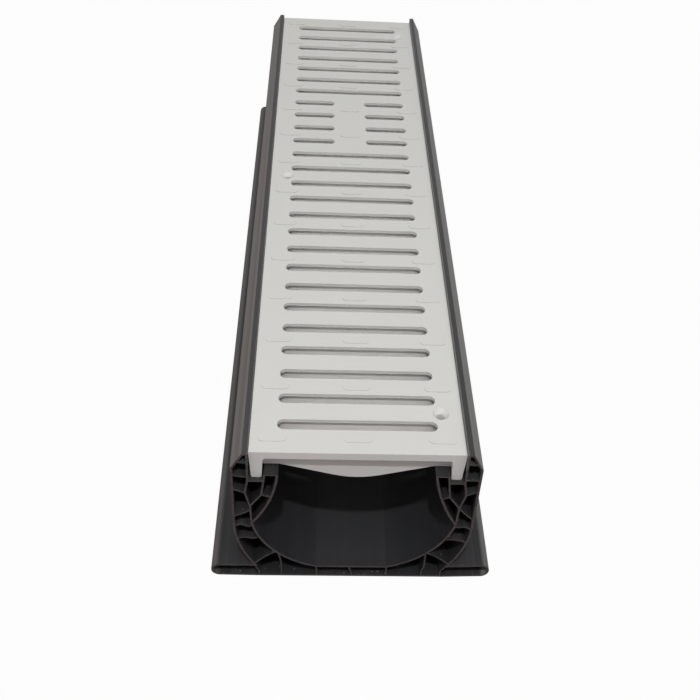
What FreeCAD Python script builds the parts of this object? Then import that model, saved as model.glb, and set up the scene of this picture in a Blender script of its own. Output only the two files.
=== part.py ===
import FreeCAD, Part
import math
import os

# Drainage channel with its grate: X across the channel, Y along it, Z up.
# Origin: middle of the channel's underside. Millimetres.

# Channel, overall
channel_length = 500.0
channel_base_width = 147.3
skin_wall = 1.2
lip_wall = 1.0
seat_wall = 0.95
web_wall = 0.72

# Channel section: wall centre lines of one half, measured from the middle and the underside.
# Where the halves differ, -1 is the left one and 1 the right one.
lip_top_z = {-1: 93.5, 1: 94.9}
shoulder_z = {-1: 83.6, 1: 84.6}
outer_x = {-1: 60.35, 1: 60.0}
side_mid = {-1: (41.6, 63.0), 1: (42.5, 63.0)}
box_top_z = {-1: 79.1, 1: 79.6}
bowl_mid = {-1: (39.8, 20.7), 1: (39.5, 21.0)}
flange_z = {-1: 8.8, 1: 9.8}
flange_lift = {-1: 0.4, 1: 0.8}
stem = {-1: ((49.9, 6.4), (48.5, 4.4), (48.5, 0.6)), 1: ((47.6, 5.2), (47.3, 0.6))}
lip_inner_x = 52.8
lip_outer_x = 54.9
outer_bend_z = 39.8
outer_belly = (57.5, 24.5)
outer_foot = (50.2, 8.9)
flange_end_x = 69.5
flange_root_x = 49.0
seat_z = 74.8
seat_inner_x = 45.1
box_top_x = (38.5, 44.5)
box_heel = (46.3, 64.8)
pinch = (51.5, 43.4)
floor_half = 18.5
floor_z = 8.3
under_z = skin_wall / 2
lip_knee = (54.3, 66.2)
fork = (52.0, 56.4)

# Thin webs, sagged as they left the die: two points for a straight one, three for an arc
left_webs = (
    ((-57.4, 88.0), (-lip_inner_x, 87.4)),
    ((-outer_x[-1], 78.6), (-lip_inner_x, 77.4)),
    ((-outer_x[-1], 68.9), (-lip_knee[0], lip_knee[1])),
    ((-outer_x[-1], 48.5), (-56.2, 50.4), (-51.9, 53.4)),
    ((-outer_x[-1], 40.4), (-57.4, 42.0), (-54.8, 41.3)),
    ((-54.8, 41.3), (-53.4, 40.7), (-51.0, 41.5)),
    ((-59.1, 30.6), (-56.2, 31.9), (-53.3, 31.7)),
    ((-53.3, 31.7), (-51.5, 31.3), (-48.8, 32.0)),
    ((-50.8, 10.4), (-45.4, 16.1), (-40.0, 20.2)),
    ((-38.5, 19.3), (-36.9, 10.2), (-37.0, under_z)),
)
right_webs = (
    ((57.8, 88.2), (lip_inner_x, 88.3)),
    ((outer_x[1], 77.4), (lip_inner_x, 77.1)),
    ((outer_x[1], 68.9), lip_knee),
    ((outer_x[1], 47.6), (56.3, 51.1), fork),
    ((outer_x[1], 39.5), (57.8, 41.3), (55.4, 42.0)),
    ((55.4, 42.0), (53.5, 41.4), (51.0, 42.2)),
    ((58.8, 29.1), (53.2, 31.3), (48.0, 31.5)),
    ((51.1, 11.0), (45.2, 16.4), (39.6, 20.3)),
    ((38.3, 19.1), (38.4, 13.5), (38.3, 7.8)),
    ((38.3, 7.8), (37.3, 4.1), (37.7, under_z)),
)
floor_webs = (
    ((-floor_half, floor_z), (-18.2, under_z)),
    ((-1.5, floor_z), (0.7, under_z)),
    ((floor_half, floor_z), (18.7, under_z)),
)

# Grate, pushed a little towards the near end of the channel
grate_length = 494.2
grate_width = 104.3
grate_slide = -0.6
grate_top_z = 92.6
slab_thick = 1.9
leg_top_width = 6.8
leg_foot = (46.0, 51.05)
foot_bevel = 0.6
edge_bevel = 0.25

# Rim across each end of the grate
rim_depth = 4.3
rim_thick = 2.4
rim_round = 1.9

# Slots, in rows across the grate
slot_rows = 26
slot_pitch = 18.25
slot_length = 78.4
slot_width = 6.8
slot_end_bulge = 2.9
split_rows = (15, 16, 17, 18)
split_gap = 21.5

# Cross ribs under the bars between the slots
rib_thick = 8.2
rib_side_depth = 12.2
rib_mid_depth = 20.9
rib_half_span = 37.5
rib_mid_half = 11.5
rib_root = 0.9
end_rib_setback = 4.2

# Low pads on every second bar
pad_length = 13.9
pad_width = 5.4
pad_height = 0.3
pad_columns = (-41.3, 0.0, 41.3)

# Countersunk holes for fixing screws, through the ribs over the channel's inner boxes
screw_x = 41.5
screw_places = ((1, 0.5), (-1, 12.5), (1, 24.5))
screw_hole_r = 2.2
screw_head_r = 4.25
screw_head_depth = 2.4


def vec(point):
    return FreeCAD.Vector(point[0], 0, point[1])


def section_face(wire):
    """A face of the section that looks along the channel, so that neighbours merge."""
    face = Part.Face(wire)
    if face.normalAt(0, 0).y < 0:
        wire.reverse()
        face = Part.Face(wire)
    return face


def straight_wall(start, end, thick):
    """A flat strip of wall between two points of the section."""
    along = (vec(end) - vec(start)).normalize()
    side = FreeCAD.Vector(-along.z, 0, along.x) * (thick / 2)
    corners = [vec(start) + side, vec(end) + side, vec(end) - side, vec(start) - side]
    return section_face(Part.makePolygon(corners + corners[:1]))


def curved_wall(start, middle, end, thick):
    """A strip of wall along the arc through three points of the section."""
    centre_line = Part.Arc(vec(start), vec(middle), vec(end))
    circle = centre_line.toShape().Curve
    sides = []
    for radius in (circle.Radius - thick / 2, circle.Radius + thick / 2):
        points = []
        for point in (start, middle, end):
            points.append(circle.Center + (vec(point) - circle.Center).normalize() * radius)
        sides.append(points)
    inner, outer = sides
    edges = [
        Part.Arc(*inner).toShape(),
        Part.makeLine(inner[2], outer[2]),
        Part.Arc(*outer).toShape(),
        Part.makeLine(outer[0], inner[0]),
    ]
    return section_face(Part.Wire(Part.__sortEdges__(edges)))


def knot(point, thick):
    """The round joint where walls meet."""
    circle = Part.makeCircle(thick / 2, vec(point), FreeCAD.Vector(0, 1, 0))
    return section_face(Part.Wire(circle))


def chain(points, thick):
    """Straight walls from point to point, with round joints."""
    faces = [knot(point, thick) for point in points]
    for start, end in zip(points, points[1:]):
        faces.append(straight_wall(start, end, thick))
    return faces


def mirrored(point, side):
    return (side * point[0], point[1])


def skeleton(side):
    """The load-bearing walls of one half of the section."""
    lip_z = lip_top_z[side] - lip_wall / 2
    shoulder = (outer_x[side], shoulder_z[side])
    outer_bend = (outer_x[side], outer_bend_z)
    flange_top = (flange_end_x, flange_z[side])
    flange_under = (flange_end_x, under_z + flange_lift[side])
    flange_tip = (channel_base_width / 2 - skin_wall / 2, (flange_top[1] + flange_under[1]) / 2)
    box_corner = (box_top_x[0], box_top_z[side])
    lines = (
        ([(lip_inner_x, lip_z), (lip_outer_x, lip_z), shoulder], lip_wall),
        ([shoulder, outer_bend], skin_wall),
        ([outer_foot] + list(stem[side]), web_wall),
        ([outer_foot, flange_top], skin_wall),
        ([(flange_root_x, under_z), flange_under], skin_wall),
        ([(lip_inner_x, lip_z), (lip_inner_x, seat_z), lip_knee, fork, pinch], seat_wall),
        ([(seat_inner_x, seat_z), (lip_inner_x, seat_z)], seat_wall),
        ([box_corner, (box_top_x[1], box_top_z[side]), (seat_inner_x, seat_z), box_heel, fork], seat_wall),
        ([box_heel, side_mid[side]], web_wall),
    )
    arcs = (
        (outer_bend, outer_belly, outer_foot),
        (flange_top, flange_tip, flange_under),
        (pinch, side_mid[side], box_corner),
        (pinch, bowl_mid[side], (floor_half, floor_z)),
    )
    faces = []
    for points, thick in lines:
        faces += chain([mirrored(point, side) for point in points], thick)
    for arc in arcs:
        faces.append(curved_wall(*[mirrored(point, side) for point in arc], skin_wall))
    return faces


def web(points):
    if len(points) == 2:
        return straight_wall(*points, web_wall)
    return curved_wall(*points, web_wall)


def floor_walls():
    """Underside and bowl floor."""
    faces = chain([(-floor_half, floor_z), (floor_half, floor_z)], skin_wall)
    faces.append(straight_wall((-flange_root_x, under_z), (flange_root_x, under_z), skin_wall))
    return faces


def make_channel():
    faces = skeleton(1) + skeleton(-1) + floor_walls()
    faces += [web(points) for points in left_webs + right_webs + floor_webs]
    section = faces[0].multiFuse(faces[1:]).removeSplitter()
    section.translate(FreeCAD.Vector(0, -channel_length / 2, 0))
    return section.Faces[0].extrude(FreeCAD.Vector(0, channel_length, 0))


def row_y(row):
    """Place along the grate of a slot row; half rows are the bars between slots."""
    return (row - (slot_rows - 1) / 2) * slot_pitch


def slot_block(length, x, y):
    """What one slot takes out of the slab: long across the grate, with nearly half-round ends."""
    z = grate_top_z - slab_thick
    half_width = slot_width / 2
    half_length = length / 2
    straight = half_length - slot_end_bulge
    corners = []
    for across, along in ((-1, -1), (1, -1), (1, 1), (-1, 1)):
        corners.append(FreeCAD.Vector(x + across * straight, y + along * half_width, z))
    edges = [
        Part.makeLine(corners[0], corners[1]),
        Part.Arc(corners[1], FreeCAD.Vector(x + half_length, y, z), corners[2]).toShape(),
        Part.makeLine(corners[2], corners[3]),
        Part.Arc(corners[3], FreeCAD.Vector(x - half_length, y, z), corners[0]).toShape(),
    ]
    return Part.Face(Part.Wire(edges)).extrude(FreeCAD.Vector(0, 0, slab_thick))


def long_edges(shape, z):
    """Edges that run along the grate at a given height."""
    found = []
    for edge in shape.Edges:
        middle = edge.CenterOfMass
        if abs(middle.y) < 1 and abs(middle.z - z) < 0.01:
            found.append(edge)
    return found


def leg_inner_x(z):
    """Inner face of a leg at a given height: it leans out a little towards its foot."""
    foot_z = seat_z + seat_wall / 2
    slab_z = grate_top_z - slab_thick
    top_x = grate_width / 2 - leg_top_width
    return top_x + (leg_foot[0] - top_x) * (slab_z - z) / (slab_z - foot_z)


def grate_shell():
    """Top slab with its two legs, drawn as one section and extruded."""
    half = grate_width / 2
    foot_z = seat_z + seat_wall / 2
    slab_z = grate_top_z - slab_thick
    section = [
        (-half, grate_top_z), (half, grate_top_z),
        (leg_foot[1], foot_z), (leg_foot[0], foot_z),
        (half - leg_top_width, slab_z), (-half + leg_top_width, slab_z),
        (-leg_foot[0], foot_z), (-leg_foot[1], foot_z),
    ]
    points = [vec(point) for point in section]
    face = Part.Face(Part.makePolygon(points + points[:1]))
    face.translate(FreeCAD.Vector(0, -grate_length / 2, 0))
    shell = face.extrude(FreeCAD.Vector(0, grate_length, 0))
    shell = shell.makeChamfer(foot_bevel, long_edges(shell, foot_z))
    return shell.makeChamfer(edge_bevel, long_edges(shell, grate_top_z))


def rim_profile():
    """Face of one end rim, with round corners where it runs into the legs."""
    root_z = grate_top_z - slab_thick + rib_root
    rim_z = grate_top_z - rim_depth
    turn_z = rim_z - rim_round
    half_leg = grate_width / 2 - leg_top_width / 2
    turn_x = leg_inner_x(turn_z)
    flat_x = turn_x - rim_round
    bend = rim_round * math.sqrt(0.5)
    edges = []
    for side in (-1, 1):
        corner = [(turn_x, turn_z), (flat_x + bend, turn_z + bend), (flat_x, rim_z)]
        edges.append(Part.Arc(*[vec(mirrored(point, side)) for point in corner]).toShape())
    outline = [(turn_x, turn_z), (half_leg, turn_z), (half_leg, root_z)]
    outline += [mirrored(point, -1) for point in reversed(outline)]
    outline_lines = list(zip(outline, outline[1:])) + [((flat_x, rim_z), (-flat_x, rim_z))]
    for start, end in outline_lines:
        edges.append(Part.makeLine(vec(start), vec(end)))
    return Part.Face(Part.Wire(Part.__sortEdges__(edges)))


def rib_profile():
    """Face of one cross rib: flat over the channel's boxes, then sloping down to a round belly."""
    root_z = grate_top_z - slab_thick + rib_root
    side_z = grate_top_z - rib_side_depth
    mid_z = grate_top_z - rib_mid_depth
    half_leg = grate_width / 2 - leg_top_width / 2
    slope = math.atan2(side_z - mid_z, rib_half_span - rib_mid_half / 2)
    belly_z = mid_z + rib_mid_half * math.tan(slope / 2)
    belly = [(-rib_mid_half, belly_z), (0, mid_z), (rib_mid_half, belly_z)]
    outline = [
        belly[2], (rib_half_span, side_z), (half_leg, side_z), (half_leg, root_z),
        (-half_leg, root_z), (-half_leg, side_z), (-rib_half_span, side_z), belly[0],
    ]
    edges = [Part.Arc(*[vec(point) for point in belly]).toShape()]
    for start, end in zip(outline, outline[1:]):
        edges.append(Part.makeLine(vec(start), vec(end)))
    return Part.Face(Part.Wire(Part.__sortEdges__(edges)))


def cross_walls(profile, thick, places):
    """Copies of a profile as walls across the grate, each centred on its place."""
    walls = []
    for y in places:
        wall = profile.copy()
        wall.translate(FreeCAD.Vector(0, y - thick / 2, 0))
        walls.append(wall.extrude(FreeCAD.Vector(0, thick, 0)))
    return walls


def make_ribs():
    end_y = grate_length / 2 - end_rib_setback - rib_thick / 2
    places = [-end_y, end_y] + [row_y(row + 0.5) for row in range(slot_rows - 1)]
    return cross_walls(rib_profile(), rib_thick, places)


def make_rims():
    end_y = grate_length / 2 - rim_thick / 2
    return cross_walls(rim_profile(), rim_thick, [-end_y, end_y])


def make_slots():
    half_length = (slot_length - split_gap) / 2
    half_x = (slot_length + split_gap) / 4
    slots = []
    for row in range(slot_rows):
        if row in split_rows:
            spans = [(-half_x, half_length), (half_x, half_length)]
        else:
            spans = [(0, slot_length)]
        for x, length in spans:
            slots.append(slot_block(length, x, row_y(row)))
    return slots


def make_pad(x, y):
    """A low tread pad, long across the grate, with its ends cut to three flats."""
    half_length = pad_length / 2
    half_width = pad_width / 2
    nose = half_width * math.tan(math.pi / 8)
    straight = half_length - half_width + nose
    quarter = [(half_length, nose), (straight, half_width)]
    outline = quarter + [(-px, py) for px, py in reversed(quarter)]
    outline += [(-px, -py) for px, py in quarter] + [(px, -py) for px, py in reversed(quarter)]
    points = [FreeCAD.Vector(x + px, y + py, grate_top_z - pad_height) for px, py in outline]
    return Part.Face(Part.makePolygon(points + points[:1])).extrude(FreeCAD.Vector(0, 0, 2 * pad_height))


def make_pads():
    rows = range(0, slot_rows + 1, 2)
    return [make_pad(x, row_y(row - 0.5)) for row in rows for x in pad_columns]


def screw_axes():
    return [(side * screw_x, row_y(row)) for side, row in screw_places]


def make_screw_holes():
    holes = []
    head_z = grate_top_z - screw_head_depth
    for x, y in screw_axes():
        foot = FreeCAD.Vector(x, y, grate_top_z - rib_side_depth - 1)
        holes.append(Part.makeCylinder(screw_hole_r, rib_side_depth + 2, foot))
        head = FreeCAD.Vector(x, y, head_z)
        holes.append(Part.makeCone(screw_hole_r, screw_head_r, screw_head_depth, head))
    return holes


def make_grate():
    shell = grate_shell().cut(Part.makeCompound(make_slots()))
    body = shell.multiFuse(make_ribs() + make_rims() + make_pads())
    body = body.cut(Part.makeCompound(make_screw_holes())).removeSplitter().Solids[0]
    body.translate(FreeCAD.Vector(0, grate_slide, 0))
    return body


os.makedirs("parts", exist_ok=True)
nodes = {"channel_body": make_channel(), "grate": make_grate()}
for name, shape in nodes.items():
    if not shape.isValid():
        raise ValueError(name + " is not a valid solid")
    shape.exportStep("parts/" + name + ".step")
    print(name, len(shape.Solids), "solid", round(shape.Volume / 1000, 1), "cm3")
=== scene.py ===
import math
import random

import bmesh
import bpy
from mathutils import Matrix, Vector
from mathutils.bvhtree import BVHTree


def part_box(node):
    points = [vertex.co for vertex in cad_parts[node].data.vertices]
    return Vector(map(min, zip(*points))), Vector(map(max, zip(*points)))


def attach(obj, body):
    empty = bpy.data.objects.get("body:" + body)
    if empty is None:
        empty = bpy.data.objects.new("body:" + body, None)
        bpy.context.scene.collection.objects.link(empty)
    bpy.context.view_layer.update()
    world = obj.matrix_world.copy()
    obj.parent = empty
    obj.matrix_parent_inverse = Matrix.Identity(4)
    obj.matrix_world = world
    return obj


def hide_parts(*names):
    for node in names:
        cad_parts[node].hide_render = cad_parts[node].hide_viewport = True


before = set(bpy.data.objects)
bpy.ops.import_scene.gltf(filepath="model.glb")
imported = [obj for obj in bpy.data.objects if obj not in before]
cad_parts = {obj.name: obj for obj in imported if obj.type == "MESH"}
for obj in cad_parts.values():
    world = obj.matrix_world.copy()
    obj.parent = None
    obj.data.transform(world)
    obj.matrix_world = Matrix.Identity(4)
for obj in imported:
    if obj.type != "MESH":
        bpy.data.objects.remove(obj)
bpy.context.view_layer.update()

mm = 0.001
scene = bpy.context.scene
scene.view_settings.view_transform = "Standard"
channelLow = Vector(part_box("channel_body")[0])
grateLow, grateHigh = [Vector(corner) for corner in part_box("grate")]
grateMiddle = (grateLow.y + grateHigh.y) / 2
padHeight = 0.30 * mm           # the tread pads stand this far above the grate's slab
slabTop = grateHigh.z - padHeight
floorHalf = 18.5 * mm           # half width of the flat floor of the trough


# camera, worked out from the slot grid in the picture
cameraSettings = {
    "place": (-22.40 * mm, -574.44 * mm, 441.28 * mm),
    "turn": -4.778,             # degrees about the upright, plus is to the left
    "lookDown": 42.315,         # degrees below level
    "roll": 4.412,
    "lens": 51.82,
    "sensor": 36.0,
    "shift": (-0.0357, 0.0371),  # the picture is a cut-out of a larger one
}


def placeCamera(settings):
    data = bpy.data.cameras.new("camera")
    data.lens = settings["lens"]
    data.sensor_width = settings["sensor"]
    data.shift_x, data.shift_y = settings["shift"]
    camera = bpy.data.objects.new("camera", data)
    scene.collection.objects.link(camera)
    turn = Matrix.Rotation(math.radians(settings["turn"]), 4, "Z")
    tilt = Matrix.Rotation(math.radians(90.0 - settings["lookDown"]), 4, "X")
    roll = Matrix.Rotation(math.radians(settings["roll"]), 4, "Z")
    camera.matrix_world = Matrix.Translation(settings["place"]) @ turn @ tilt @ roll
    scene.camera = camera


placeCamera(cameraSettings)
print("camera placed")


# small helpers for shader trees
def addNode(tree, kind, **values):
    node = tree.nodes.new(kind)
    for name, value in values.items():
        setattr(node, name, value)
    return node


def feed(tree, socket, source):
    if hasattr(source, "is_output"):
        tree.links.new(source, socket)
    else:
        socket.default_value = source


def math2(tree, operation, first, second=0.0):
    node = addNode(tree, "ShaderNodeMath", operation=operation)
    feed(tree, node.inputs[0], first)
    feed(tree, node.inputs[1], second)
    return node.outputs[0]


# goes softly from one output to the other while the value goes from low to high
def spread(tree, value, low, high, outLow=0.0, outHigh=1.0):
    node = addNode(tree, "ShaderNodeMapRange", interpolation_type="SMOOTHSTEP")
    feed(tree, node.inputs["Value"], value)
    feed(tree, node.inputs["From Min"], low)
    feed(tree, node.inputs["From Max"], high)
    feed(tree, node.inputs["To Min"], outLow)
    feed(tree, node.inputs["To Max"], outHigh)
    return node.outputs["Result"]


def mixColour(tree, factor, first, second):
    node = addNode(tree, "ShaderNodeMix", data_type="RGBA")
    feed(tree, node.inputs["Factor"], factor)
    feed(tree, node.inputs["A"], first)
    feed(tree, node.inputs["B"], second)
    return node.outputs["Result"]


def noise(tree, vector, scale, detail, rough):
    node = addNode(tree, "ShaderNodeTexNoise")
    feed(tree, node.inputs["Vector"], vector)
    feed(tree, node.inputs["Scale"], scale)
    node.inputs["Detail"].default_value = detail
    node.inputs["Roughness"].default_value = rough
    return node.outputs["Fac"]


# noise with its own scale along each axis
def streakNoise(tree, vector, scale, detail, rough):
    node = addNode(tree, "ShaderNodeVectorMath", operation="MULTIPLY")
    feed(tree, node.inputs[0], vector)
    node.inputs[1].default_value = scale
    return noise(tree, node.outputs["Vector"], 1.0, detail, rough)


def splitAxes(tree, vector):
    node = addNode(tree, "ShaderNodeSeparateXYZ")
    feed(tree, node.inputs[0], vector)
    return node.outputs["X"], node.outputs["Y"], node.outputs["Z"]


def objectPlace(tree):
    return addNode(tree, "ShaderNodeTexCoord").outputs["Object"]


def newGroup(name, inputs, outputs):
    group = bpy.data.node_groups.new(name, "ShaderNodeTree")
    for label, value in inputs:
        socket = group.interface.new_socket(label, in_out="INPUT", socket_type="NodeSocketFloat")
        socket.default_value = value
    for label in outputs:
        group.interface.new_socket(label, in_out="OUTPUT", socket_type="NodeSocketFloat")
    return group, group.nodes.new("NodeGroupInput"), group.nodes.new("NodeGroupOutput")


def useGroup(tree, group, **values):
    node = addNode(tree, "ShaderNodeGroup", node_tree=group)
    for name, value in values.items():
        feed(tree, node.inputs[name], value)
    return node


# fine grain that any moulded or extruded plastic has
grainSettings = {
    "inputs": [("Scale", 3000.0), ("Coarse", 120.0)],
    "fine": (2.0, 0.6),         # detail and roughness of the noise
    "broad": (4.0, 0.55),
}


def makeGrain(settings):
    group, given, put = newGroup("plasticGrain", settings["inputs"], ["Height", "Mottle"])
    place = objectPlace(group)
    fine = noise(group, place, given.outputs["Scale"], *settings["fine"])
    broad = noise(group, place, given.outputs["Coarse"], *settings["broad"])
    group.links.new(fine, put.inputs["Height"])
    group.links.new(broad, put.inputs["Mottle"])
    return group


# dust that settles on what faces up
dustSettings = {
    "inputs": [("Scale", 160.0), ("Cover", 0.5)],
    "facing": (0.2, 0.95),      # from steep to level
    "patches": (6.0, 0.62),     # detail and roughness of the noise
    "softness": 0.22,
}


def makeDust(settings):
    group, given, put = newGroup("settledDust", settings["inputs"], ["Mask"])
    facing = addNode(group, "ShaderNodeNewGeometry").outputs["Normal"]
    upward = spread(group, splitAxes(group, facing)[2], *settings["facing"])
    patches = noise(group, objectPlace(group), given.outputs["Scale"], *settings["patches"])
    limit = math2(group, "SUBTRACT", 1.0, given.outputs["Cover"])
    speckle = spread(group, patches, limit, math2(group, "ADD", limit, settings["softness"]))
    group.links.new(math2(group, "MULTIPLY", upward, speckle), put.inputs["Mask"])
    return group


grainGroup = makeGrain(grainSettings)
dustGroup = makeDust(dustSettings)


def newMaterial(name):
    material = bpy.data.materials.new(name)
    material.use_nodes = True
    tree = material.node_tree
    tree.nodes.clear()
    shader = tree.nodes.new("ShaderNodeBsdfPrincipled")
    output = tree.nodes.new("ShaderNodeOutputMaterial")
    tree.links.new(shader.outputs[0], output.inputs["Surface"])
    return material, tree, shader


def bump(tree, height, strength, distance):
    node = addNode(tree, "ShaderNodeBump")
    node.inputs["Strength"].default_value = strength
    node.inputs["Distance"].default_value = distance
    tree.links.new(height, node.inputs["Height"])
    return node.outputs["Normal"]


def finishSurface(tree, shader, colour, rough, normal):
    tree.links.new(colour, shader.inputs["Base Color"])
    tree.links.new(rough, shader.inputs["Roughness"])
    tree.links.new(normal, shader.inputs["Normal"])


grateFinish = {
    "grain": {"Scale": 2600.0, "Coarse": 45.0},
    "dust": {"Scale": 210.0, "Cover": 0.30},
    "light": (0.785, 0.780, 0.752, 1),
    "shade": (0.740, 0.735, 0.706, 1),
    "slotLight": (0.945, 0.932, 0.905, 1),      # painted bounce light, lighter than the rest, inside the slots:
    "slotLightBelow": (1.2 * mm, 2.2 * mm),     # down from the top,
    "slotLightFrom": (6.0 * mm, 8.0 * mm),      # in from the ends
    "slotLightHalf": (39.5 * mm, 37.5 * mm),    # and out from the middle
    "dirt": (0.34, 0.32, 0.29, 1),
    "dirtShare": 0.10,
    "padSideShade": (0.46, 0.45, 0.43, 1),       # painted shade on the low sides of the pads
    "padSideShadeEdge": (0.01 * mm, 0.03 * mm),
    "mottle": (0.3, 0.7),                   # the part of the noise that the roughness follows
    "rough": (0.42, 0.55),
    "bump": (0.12, 0.12 * mm),              # strength and depth
    "specular": 0.3,
}


# where the slots get their painted bounce light
def insideSlots(tree, finish, x, y, z):
    shallow, deep = finish["slotLightBelow"]
    below = spread(tree, z, grateHigh.z - shallow, grateHigh.z - deep)
    away = math2(tree, "ABSOLUTE", math2(tree, "SUBTRACT", y, grateMiddle))
    halfLength = (grateHigh.y - grateLow.y) / 2
    offEnds = spread(tree, away, *[halfLength - depth for depth in finish["slotLightFrom"]])
    offSides = spread(tree, math2(tree, "ABSOLUTE", x), *finish["slotLightHalf"])
    return math2(tree, "MULTIPLY", math2(tree, "MULTIPLY", below, offEnds), offSides)


# where the pads' sides get their painted shade
def onPadSides(tree, finish, z):
    near, far = finish["padSideShadeEdge"]
    overSlab = spread(tree, z, slabTop + near, slabTop + far)
    underTop = spread(tree, z, grateHigh.z - near, grateHigh.z - far)
    return math2(tree, "MULTIPLY", overSlab, underTop)


def makeGratePlastic(finish):
    material, tree, shader = newMaterial("gratePlastic")
    grain = useGroup(tree, grainGroup, **finish["grain"])
    dust = useGroup(tree, dustGroup, **finish["dust"])
    x, y, z = splitAxes(tree, objectPlace(tree))
    colour = mixColour(tree, grain.outputs["Mottle"], finish["shade"], finish["light"])
    # the slots' walls and the ribs seen through them are made lighter: painted bounce light
    colour = mixColour(tree, insideSlots(tree, finish, x, y, z), colour, finish["slotLight"])
    # the low sides of the pads are darkened: painted shade
    colour = mixColour(tree, onPadSides(tree, finish, z), colour, finish["padSideShade"])
    soiled = math2(tree, "MULTIPLY", dust.outputs["Mask"], finish["dirtShare"])
    colour = mixColour(tree, soiled, colour, finish["dirt"])
    rough = spread(tree, grain.outputs["Mottle"], *finish["mottle"], *finish["rough"])
    normal = bump(tree, grain.outputs["Height"], *finish["bump"])
    finishSurface(tree, shader, colour, rough, normal)
    shader.inputs["Specular IOR Level"].default_value = finish["specular"]
    return material


channelFinish = {
    "grain": {"Scale": 1900.0, "Coarse": 70.0},
    "dust": {"Scale": 320.0, "Cover": 0.36},
    # noise: scale along each axis, detail and roughness
    "dieLines": ((900.0, 2.0, 900.0), 3.0, 0.6),    # they run with the channel
    "dieBands": ((190.0, 0.8, 190.0), 2.0, 0.5),
    "sawMarks": ((90.0, 90.0, 2600.0), 3.0, 0.6),
    # how much of each noise counts, from dark to light
    "streakSpan": (0.12, 0.44),
    "scuffSpan": (0.36, 0.60),
    "sawSpan": (0.35, 0.65),
    "lineSpan": (0.3, 0.7),
    "cutFacing": (0.55, 0.8),   # a cut end faces along the channel at least so far
    "skin": (0.0290, 0.0293, 0.0318, 1),
    "skinLined": (0.0440, 0.0440, 0.0454, 1),
    "wearAndSheenLeft": ((0.146, 0.134, 0.126, 1), (0.220, 0.204, 0.192, 1)),     # partly scuffed by handling, partly painted sheen, lighter on the right as painted light from that side; from dark to light
    "wearAndSheenRight": ((0.194, 0.196, 0.188, 1), (0.282, 0.284, 0.273, 1)),    # from dark to light
    "sideBlend": 1.0 * mm,
    "sawn": (0.106, 0.092, 0.087, 1),
    "sawnDark": (0.062, 0.054, 0.052, 1),
    "sawnRough": 0.25,          # how much rougher the cut ends are
    "dustColour": (0.19, 0.17, 0.155, 1),
    "dustShare": 0.12,
    "rough": (0.42, 0.56),
    "lipFoot": (83.0 * mm, 84.5 * mm),
    "lipSlope": (0.35, 0.6),
    "lipWearAndSheen": (0.12, 0.95),     # on the flat tops of the lips and on their slopes, where the lighter slopes are painted sheen
    "flangeEdge": (68.8 * mm, 71.6 * mm),
    "edgeHighlight": (0.46, 0.70),    # left and right: a painted highlight along the edges of the foot flanges, stronger on the right
    "bowl": (0.0235, 0.0240, 0.0264, 1),        # the trough's curved walls
    "bowlFloor": (0.0318, 0.0323, 0.0348, 1),   # its flat floor came duller from the die
    "bowlHalf": (52.0 * mm, 50.0 * mm),
    "bowlTop": (75.0 * mm, 70.0 * mm),
    "bowlShare": 0.8,
    "floorEdge": (0.5 * mm, -0.3 * mm),         # past and short of the floor's half width
    "lineHeight": 0.8,
    "grainHeight": 0.25,
    "bump": (0.25, 0.10 * mm),                  # strength and depth
    "specular": 0.15,
}


# where the lips and the edges of the foot flanges are made lighter: partly wear from handling,
# partly painted sheen and a painted highlight, more on the right as painted light from that side
def wearAndSheenPlaces(tree, finish, x, z, leanX):
    onLip = spread(tree, z, *finish["lipFoot"])
    leaning = math2(tree, "ABSOLUTE", leanX)
    sloping = spread(tree, leaning, *finish["lipSlope"], *finish["lipWearAndSheen"])
    # a painted highlight along the flange edges, stronger on the right
    edgeHighlight = spread(tree, x, -finish["sideBlend"], finish["sideBlend"], *finish["edgeHighlight"])
    onEdge = spread(tree, math2(tree, "ABSOLUTE", x), *finish["flangeEdge"], 0.0, edgeHighlight)
    return math2(tree, "MAXIMUM", math2(tree, "MULTIPLY", onLip, sloping), onEdge)


def wearAndSheenColour(tree, finish, x, bands):
    scuffs = spread(tree, bands, *finish["scuffSpan"])
    left = mixColour(tree, scuffs, *finish["wearAndSheenLeft"])
    right = mixColour(tree, scuffs, *finish["wearAndSheenRight"])
    rightSide = spread(tree, x, -finish["sideBlend"], finish["sideBlend"])
    return mixColour(tree, rightSide, left, right)


def bowlColour(tree, finish, x, z, skin):
    outward = math2(tree, "ABSOLUTE", x)
    flat = spread(tree, outward, *[floorHalf + past for past in finish["floorEdge"]])
    bowl = mixColour(tree, flat, finish["bowl"], finish["bowlFloor"])
    across = spread(tree, outward, *finish["bowlHalf"], 0.0, finish["bowlShare"])
    inBowl = math2(tree, "MULTIPLY", across, spread(tree, z, *finish["bowlTop"]))
    return mixColour(tree, inBowl, skin, bowl)


# die lines and grain on the skin, saw marks on the cut ends
def channelHeight(tree, finish, sawn, lines, grain, sawMarks):
    lined = math2(tree, "MULTIPLY", lines, finish["lineHeight"])
    grained = math2(tree, "MULTIPLY", grain, finish["grainHeight"])
    skin = math2(tree, "ADD", lined, grained)
    skin = math2(tree, "MULTIPLY", skin, math2(tree, "SUBTRACT", 1.0, sawn))
    return math2(tree, "ADD", skin, math2(tree, "MULTIPLY", sawMarks, sawn))


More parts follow.
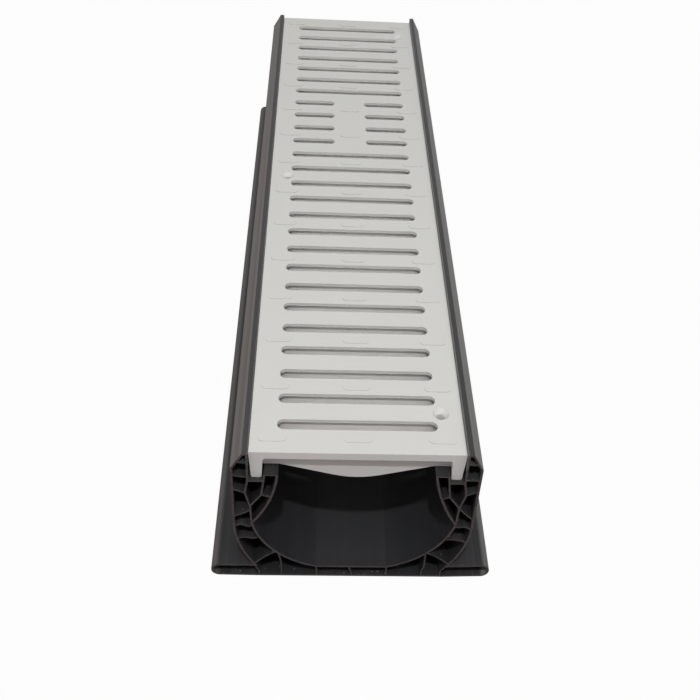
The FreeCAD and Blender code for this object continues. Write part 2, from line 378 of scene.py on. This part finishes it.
def makeChannelPlastic(finish):
    material, tree, shader = newMaterial("channelPlastic")
    grain = useGroup(tree, grainGroup, **finish["grain"])
    dust = useGroup(tree, dustGroup, **finish["dust"])
    place = objectPlace(tree)
    x, _, z = splitAxes(tree, place)
    facing = addNode(tree, "ShaderNodeNewGeometry").outputs["True Normal"]
    leanX, leanY, _ = splitAxes(tree, facing)
    sawn = spread(tree, math2(tree, "ABSOLUTE", leanY), *finish["cutFacing"])
    lines = streakNoise(tree, place, *finish["dieLines"])
    bands = streakNoise(tree, place, *finish["dieBands"])
    sawMarks = streakNoise(tree, place, *finish["sawMarks"])
    streaks = spread(tree, math2(tree, "MULTIPLY", lines, bands), *finish["streakSpan"])
    skin = mixColour(tree, streaks, finish["skin"], finish["skinLined"])
    skin = bowlColour(tree, finish, x, z, skin)
    # lips made lighter: partly wear, partly painted sheen, lighter on the right as painted light
    # from that side
    wearAndSheen = wearAndSheenColour(tree, finish, x, bands)
    skin = mixColour(tree, wearAndSheenPlaces(tree, finish, x, z, leanX), skin, wearAndSheen)
    dusty = math2(tree, "MULTIPLY", dust.outputs["Mask"], finish["dustShare"])
    skin = mixColour(tree, dusty, skin, finish["dustColour"])
    sawTone = spread(tree, sawMarks, *finish["sawSpan"])
    cut = mixColour(tree, sawTone, finish["sawnDark"], finish["sawn"])
    colour = mixColour(tree, sawn, skin, cut)
    rough = spread(tree, lines, *finish["lineSpan"], *finish["rough"])
    rough = math2(tree, "ADD", rough, math2(tree, "MULTIPLY", sawn, finish["sawnRough"]))
    height = channelHeight(tree, finish, sawn, lines, grain.outputs["Height"], sawMarks)
    finishSurface(tree, shader, colour, rough, bump(tree, height, *finish["bump"]))
    shader.inputs["Specular IOR Level"].default_value = finish["specular"]
    return material


crumbFinish = {
    "grain": {"Scale": 5200.0, "Coarse": 700.0},
    "light": (0.17, 0.157, 0.148, 1),
    "shade": (0.075, 0.068, 0.065, 1),
    "toneSpan": (0.35, 0.65),
    "roughSpan": (0.3, 0.7),
    "rough": (0.6, 0.8),
    "bump": (0.4, 0.1 * mm),
}


def makeCrumbPlastic(finish):
    material, tree, shader = newMaterial("sawCrumbs")
    grain = useGroup(tree, grainGroup, **finish["grain"])
    tone = spread(tree, grain.outputs["Mottle"], *finish["toneSpan"])
    colour = mixColour(tree, tone, finish["shade"], finish["light"])
    rough = spread(tree, grain.outputs["Height"], *finish["roughSpan"], *finish["rough"])
    normal = bump(tree, grain.outputs["Height"], *finish["bump"])
    finishSurface(tree, shader, colour, rough, normal)
    return material


gratePlastic = makeGratePlastic(grateFinish)
channelPlastic = makeChannelPlastic(channelFinish)
crumbPlastic = makeCrumbPlastic(crumbFinish)
print("materials made")


weldReach = 0.004 * mm
flatAngle = math.radians(0.6)
normalWeight = 60


# the channel and the grate keep the form of their solids and get soft edges
def copyOfNode(name, node):
    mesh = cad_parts[node].data.copy()
    mesh.name = name
    mesh.materials.clear()
    piece = bpy.data.objects.new(name, mesh)
    scene.collection.objects.link(piece)
    return piece


def weld(tool):
    bmesh.ops.remove_doubles(tool, verts=tool.verts, dist=weldReach)


def weldFlats(tool):
    weld(tool)
    bmesh.ops.dissolve_limit(tool, angle_limit=flatAngle, verts=tool.verts, edges=tool.edges)


def softenEdges(piece, settings):
    for face in piece.data.polygons:
        face.use_smooth = True
    edge = piece.modifiers.new("softEdges", "BEVEL")
    edge.width = settings["edge"]
    edge.segments = settings["segments"]
    edge.limit_method = "ANGLE"
    edge.angle_limit = math.radians(settings["angle"])
    edge.use_clamp_overlap = True
    level = piece.modifiers.new("evenNormals", "WEIGHTED_NORMAL")
    level.mode = "FACE_AREA"
    level.weight = normalWeight
    level.keep_sharp = True


# small pieces that are drawn here rather than copied
def pieceFrom(tool, name, material):
    mesh = bpy.data.meshes.new(name)
    tool.to_mesh(mesh)
    tool.free()
    mesh.materials.append(material)
    piece = bpy.data.objects.new(name, mesh)
    scene.collection.objects.link(piece)
    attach(piece, "root")


channelSettings = {
    "edge": 0.12 * mm,
    "segments": 2,
    "angle": 32.0,
    "floorTop": 8.9 * mm,
    "creaseReach": (0.5 * mm, 0.3 * mm),    # across and in height
    "creaseLength": 100.0 * mm,
}


# the bowl meets its flat floor in a faint crease
def creaseFloor(tool, settings):
    reachX, reachZ = settings["creaseReach"]
    for edge in tool.edges:
        spots = [v.co for v in edge.verts]
        nearX = all(abs(abs(p.x) - floorHalf) < reachX for p in spots)
        nearZ = all(abs(p.z - settings["floorTop"]) < reachZ for p in spots)
        if nearX and nearZ and edge.calc_length() > settings["creaseLength"]:
            edge.smooth = False


def makeChannel(settings):
    piece = copyOfNode("channelProfile", "channel_body")
    tool = bmesh.new()
    tool.from_mesh(piece.data)
    weldFlats(tool)
    creaseFloor(tool, settings)
    tool.to_mesh(piece.data)
    tool.free()
    softenEdges(piece, settings)
    piece.data.materials.append(channelPlastic)
    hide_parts("channel_body")
    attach(piece, "root")
    return piece


channelProfile = makeChannel(channelSettings)
print("channel made")


# crumbs and burrs that the saw left at the near end
crumbSettings = {
    "seed": 11,
    "onFloors": 40,             # lying in the chambers
    "onEdges": 40,              # hanging on the cut edges
    "size": (0.15 * mm, 0.40 * mm),
    "edgeSize": 0.8,            # those on the edges are smaller
    "stretch": ((0.8, 1.8), (0.8, 1.5), (0.5, 1.0)),
    "knobs": (0.7, 1.2),
    "reach": 6.0 * mm,          # how far in from the cut they lie
    "crowding": 1.5,            # more of them near the cut
    "clear": 0.3 * mm,          # from the walls at each side
    "lift": 0.4,                # of their size
    "edgeInset": 0.05 * mm,
    "cutDepth": 0.01 * mm,
    "floorLean": 0.75,          # a floor faces up at least so far
    "floorWidth": 1.2 * mm,
    "probeParts": (0.1, 0.9),   # of the floor's width
    "probeFrom": (0.0, 1.0 * mm, 0.1 * mm),
    "probeHeight": 60.0 * mm,
}


def atCut(vert, settings):
    return vert.co.y < channelLow.y + settings["cutDepth"]


# a floor counts only where another wall is over both its ends
def isCovered(tree, left, right, settings):
    for part in settings["probeParts"]:
        start = left.lerp(right, part) + Vector(settings["probeFrom"])
        if tree.ray_cast(start, Vector((0, 0, 1)), settings["probeHeight"])[0] is None:
            return False
    return True


def chamberFloors(source, settings):
    tree = BVHTree.FromBMesh(source)
    floors = []
    for face in source.faces:
        ends = sorted((v.co for v in face.verts if atCut(v, settings)), key=lambda p: p.x)
        if face.normal.z < settings["floorLean"] or len(ends) < 2:
            continue
        left, right = ends[0], ends[-1]
        if right.x - left.x < settings["floorWidth"]:
            continue
        if isCovered(tree, left, right, settings):
            floors.append((face, left.x, right.x))
    return floors


def addCrumb(tool, place, size, pick, settings):
    made = bmesh.ops.create_icosphere(tool, subdivisions=1, radius=size)
    stretch = Vector([pick.uniform(*span) for span in settings["stretch"]])
    for vert in made["verts"]:
        vert.co = vert.co * stretch * pick.uniform(*settings["knobs"]) + place


def crumbOnFloor(tool, floors, pick, settings):
    face, low, high = pick.choices(floors, [right - left for _, left, right in floors])[0]
    x = pick.uniform(low + settings["clear"], high - settings["clear"])
    y = channelLow.y + settings["reach"] * pick.random() ** settings["crowding"]
    base, lean = face.verts[0].co, face.normal
    z = base.z - (lean.x * (x - base.x) + lean.y * (y - base.y)) / lean.z
    size = pick.uniform(*settings["size"])
    addCrumb(tool, Vector((x, y, z + settings["lift"] * size)), size, pick, settings)


def crumbOnEdge(tool, cuts, pick, settings):
    edge = pick.choices(cuts, [e.calc_length() for e in cuts])[0]
    spot = edge.verts[0].co.lerp(edge.verts[1].co, pick.random())
    size = pick.uniform(*settings["size"]) * settings["edgeSize"]
    addCrumb(tool, spot + Vector((0, settings["edgeInset"], 0)), size, pick, settings)


def makeCrumbs(channel, settings):
    pick = random.Random(settings["seed"])
    source = bmesh.new()
    source.from_mesh(channel.data)
    floors = chamberFloors(source, settings)
    cuts = [e for e in source.edges if all(atCut(v, settings) for v in e.verts)]
    tool = bmesh.new()
    for _ in range(settings["onFloors"]):
        crumbOnFloor(tool, floors, pick, settings)
    for _ in range(settings["onEdges"]):
        crumbOnEdge(tool, cuts, pick, settings)
    source.free()
    for face in tool.faces:
        face.smooth = True
    pieceFrom(tool, "sawCrumbs", crumbPlastic)


makeCrumbs(channelProfile, crumbSettings)
print("crumbs made")


grateSettings = {
    "edge": 0.30 * mm,
    "segments": 3,
    "angle": 38.0,
}


# the plain pads of the solid make way for the pads below
def removePads(tool):
    pads = [v for v in tool.verts if v.co.z > slabTop + padHeight / 2]
    bmesh.ops.delete(tool, geom=pads, context="VERTS")
    rims = [e for e in tool.edges if len(e.link_faces) == 1]
    bmesh.ops.holes_fill(tool, edges=rims, sides=0)


def makeGrate(settings):
    piece = copyOfNode("grateMoulding", "grate")
    tool = bmesh.new()
    tool.from_mesh(piece.data)
    weld(tool)
    removePads(tool)
    weldFlats(tool)
    tool.to_mesh(piece.data)
    tool.free()
    softenEdges(piece, settings)
    piece.data.materials.append(gratePlastic)
    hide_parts("grate")
    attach(piece, "root")


makeGrate(grateSettings)
print("grate made")


padSettings = {
    "columns": (-41.3 * mm, 0.0, 41.3 * mm),
    "rows": 14,
    "rowStep": 36.5 * mm,
    "length": 13.9 * mm,
    "width": 5.4 * mm,
    "sink": 0.02 * mm,      # the foot is let into the slab
    "brow": 0.03 * mm,      # width of the rounded rim
    "browSteps": 4,
    "endSteps": 12,         # in each half-round end
}


def stadiumRing(tool, centre, length, width, z, steps):
    radius = width / 2
    straight = length / 2 - radius
    ring = []
    for side in (1, -1):
        for step in range(steps + 1):
            turn = math.pi * (step / steps - 0.5)
            x = side * (straight + radius * math.cos(turn))
            y = side * radius * math.sin(turn)
            ring.append(tool.verts.new((centre[0] + x, centre[1] + y, z)))
    return ring


def addPad(tool, centre, settings):
    rings = []
    foot = slabTop - settings["sink"]
    for step in range(settings["browSteps"] + 1):
        lift = math.radians(90.0 * step / settings["browSteps"])
        inset = settings["brow"] * (1 - math.cos(lift))
        length = settings["length"] - 2 * inset
        width = settings["width"] - 2 * inset
        z = foot + (grateHigh.z - foot) * math.sin(lift)
        rings.append(stadiumRing(tool, centre, length, width, z, settings["endSteps"]))
    for low, high in zip(rings, rings[1:]):
        for i in range(len(low)):
            j = (i + 1) % len(low)
            tool.faces.new((low[i], low[j], high[j], high[i])).smooth = True
    tool.faces.new(rings[-1])       # the top stays flat


def makePads(settings):
    tool = bmesh.new()
    firstRow = grateMiddle - settings["rowStep"] * (settings["rows"] - 1) / 2
    for row in range(settings["rows"]):
        for x in settings["columns"]:
            addPad(tool, (x, firstRow + row * settings["rowStep"]), settings)
    pieceFrom(tool, "treadPads", gratePlastic)


makePads(padSettings)
print("pads made")


# floor and light, in metres and watts
white = (1, 1, 1, 1)
stageSettings = {
    "floorSize": 12.0,
    "floorGap": 0.02 * mm,      # under the channel
    "floorColour": (0.33, 0.265, 0.275, 1),
    "floorSeen": 0.975,         # how far the camera sees it as plain white
    "floorGloss": 0.25,         # and how far reflections do
    "floorFade": (0.35, 1.6),   # further out it goes over into the white around it
    "aim": (0, -0.1, 0.05),
    "keyPlace": (-0.06, -0.995, 1.62),
    "keySize": (0.05, 0.05),
    "keyPower": 12.5,
    "sideSize": (0.9, 0.9),
    # a soft panel on each hand, with its place and power
    "sidePanels": (((-1.0, -0.9, 1.2), 2.5), ((0.8, -0.75, 1.55), 5.0)),
    "room": (0.25, 0.27),       # a little darker at the floor than overhead
}


# what the camera looks straight at
def seenDirectly(tree, path):
    return math2(tree, "MAXIMUM", path.outputs["Is Camera Ray"], path.outputs["Is Transmission Ray"])


def makeFloorPaper(settings):
    material = bpy.data.materials.new("floorPaper")
    material.use_nodes = True
    tree = material.node_tree
    tree.nodes.clear()
    paper = addNode(tree, "ShaderNodeBsdfDiffuse")
    paper.inputs["Color"].default_value = settings["floorColour"]
    glow = addNode(tree, "ShaderNodeEmission")
    glow.inputs["Color"].default_value = white
    path = addNode(tree, "ShaderNodeLightPath")
    away = addNode(tree, "ShaderNodeVectorMath", operation="LENGTH")
    tree.links.new(objectPlace(tree), away.inputs[0])
    share = spread(tree, away.outputs["Value"], *settings["floorFade"], settings["floorSeen"], 1.0)
    seen = math2(tree, "MULTIPLY", seenDirectly(tree, path), share)
    gloss = math2(tree, "MULTIPLY", path.outputs["Is Glossy Ray"], settings["floorGloss"])
    blend = addNode(tree, "ShaderNodeMixShader")
    tree.links.new(math2(tree, "MAXIMUM", seen, gloss), blend.inputs[0])
    tree.links.new(paper.outputs[0], blend.inputs[1])
    tree.links.new(glow.outputs[0], blend.inputs[2])
    output = addNode(tree, "ShaderNodeOutputMaterial")
    tree.links.new(blend.outputs[0], output.inputs["Surface"])
    return material


def makeFloor(settings):
    half = settings["floorSize"] / 2
    z = channelLow.z - settings["floorGap"]
    corners = [(-half, -half, z), (half, -half, z), (half, half, z), (-half, half, z)]
    mesh = bpy.data.meshes.new("floor")
    mesh.from_pydata(corners, [], [(0, 1, 2, 3)])
    mesh.materials.append(makeFloorPaper(settings))
    floor = bpy.data.objects.new("floor", mesh)
    scene.collection.objects.link(floor)


def addLight(name, shape, size, power, place, aim):
    data = bpy.data.lights.new(name, "AREA")
    data.shape = shape
    data.size, data.size_y = size
    data.energy = power
    light = bpy.data.objects.new(name, data)
    light.location = place
    sight = Vector(aim) - light.location
    light.rotation_euler = sight.to_track_quat("-Z", "Y").to_euler()
    scene.collection.objects.link(light)


def makeLights(settings):
    aim = settings["aim"]
    addLight("key", "DISK", settings["keySize"], settings["keyPower"], settings["keyPlace"], aim)
    for place, power in settings["sidePanels"]:
        addLight("side", "RECTANGLE", settings["sideSize"], power, place, aim)


# white to look at, and dimmer as a light
def makeWorld(settings):
    world = bpy.data.worlds.new("studio")
    scene.world = world
    world.use_nodes = True
    tree = world.node_tree
    tree.nodes.clear()
    path = addNode(tree, "ShaderNodeLightPath")
    seen = math2(tree, "MAXIMUM", seenDirectly(tree, path), path.outputs["Is Glossy Ray"])
    height = splitAxes(tree, addNode(tree, "ShaderNodeTexCoord").outputs["Generated"])[2]
    room = spread(tree, height, 0.0, 1.0, *settings["room"])
    sky = addNode(tree, "ShaderNodeBackground")
    sky.inputs["Color"].default_value = white
    tree.links.new(math2(tree, "MAXIMUM", seen, room), sky.inputs["Strength"])
    output = addNode(tree, "ShaderNodeOutputWorld")
    tree.links.new(sky.outputs[0], output.inputs["Surface"])


makeFloor(stageSettings)
makeLights(stageSettings)
makeWorld(stageSettings)
print("floor and light made")
